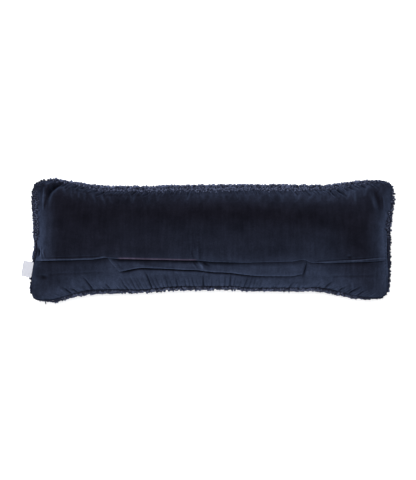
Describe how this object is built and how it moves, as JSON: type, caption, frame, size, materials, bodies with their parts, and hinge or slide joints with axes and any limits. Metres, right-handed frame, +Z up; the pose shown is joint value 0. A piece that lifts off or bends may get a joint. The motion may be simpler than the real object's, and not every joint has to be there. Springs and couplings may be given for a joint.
{
  "type": "hooked wool throw pillow",
  "caption": "Long lumbar throw pillow with a looped wool front and a plain velvet back, lying on its front. The back has a lapped seam and a flap over its closure.",
  "frame": {"origin": "on the flat of the wool front that the pillow rests on, below the middle of the pillow", "axes": "+X along the pillow towards the end without the label, +Y across it towards the wide upper panel of the back, +Z up out of the velvet back"},
  "size_m": [0.9439, 0.3084, 0.1278],
  "materials": {
    "velvet": "dark navy cotton velvet, darkest face on and paler where the nap turns away",
    "hooked_wool": "dull navy wool loops, slightly mixed in tone",
    "label_tape": "close-woven white tape, bare"
  },
  "bodies": {
    "root": {"cushion": "velvet", "hooked_front": "hooked_wool", "zip_flap": "velvet", "label": "label_tape"}
  },
  "joints": []
}
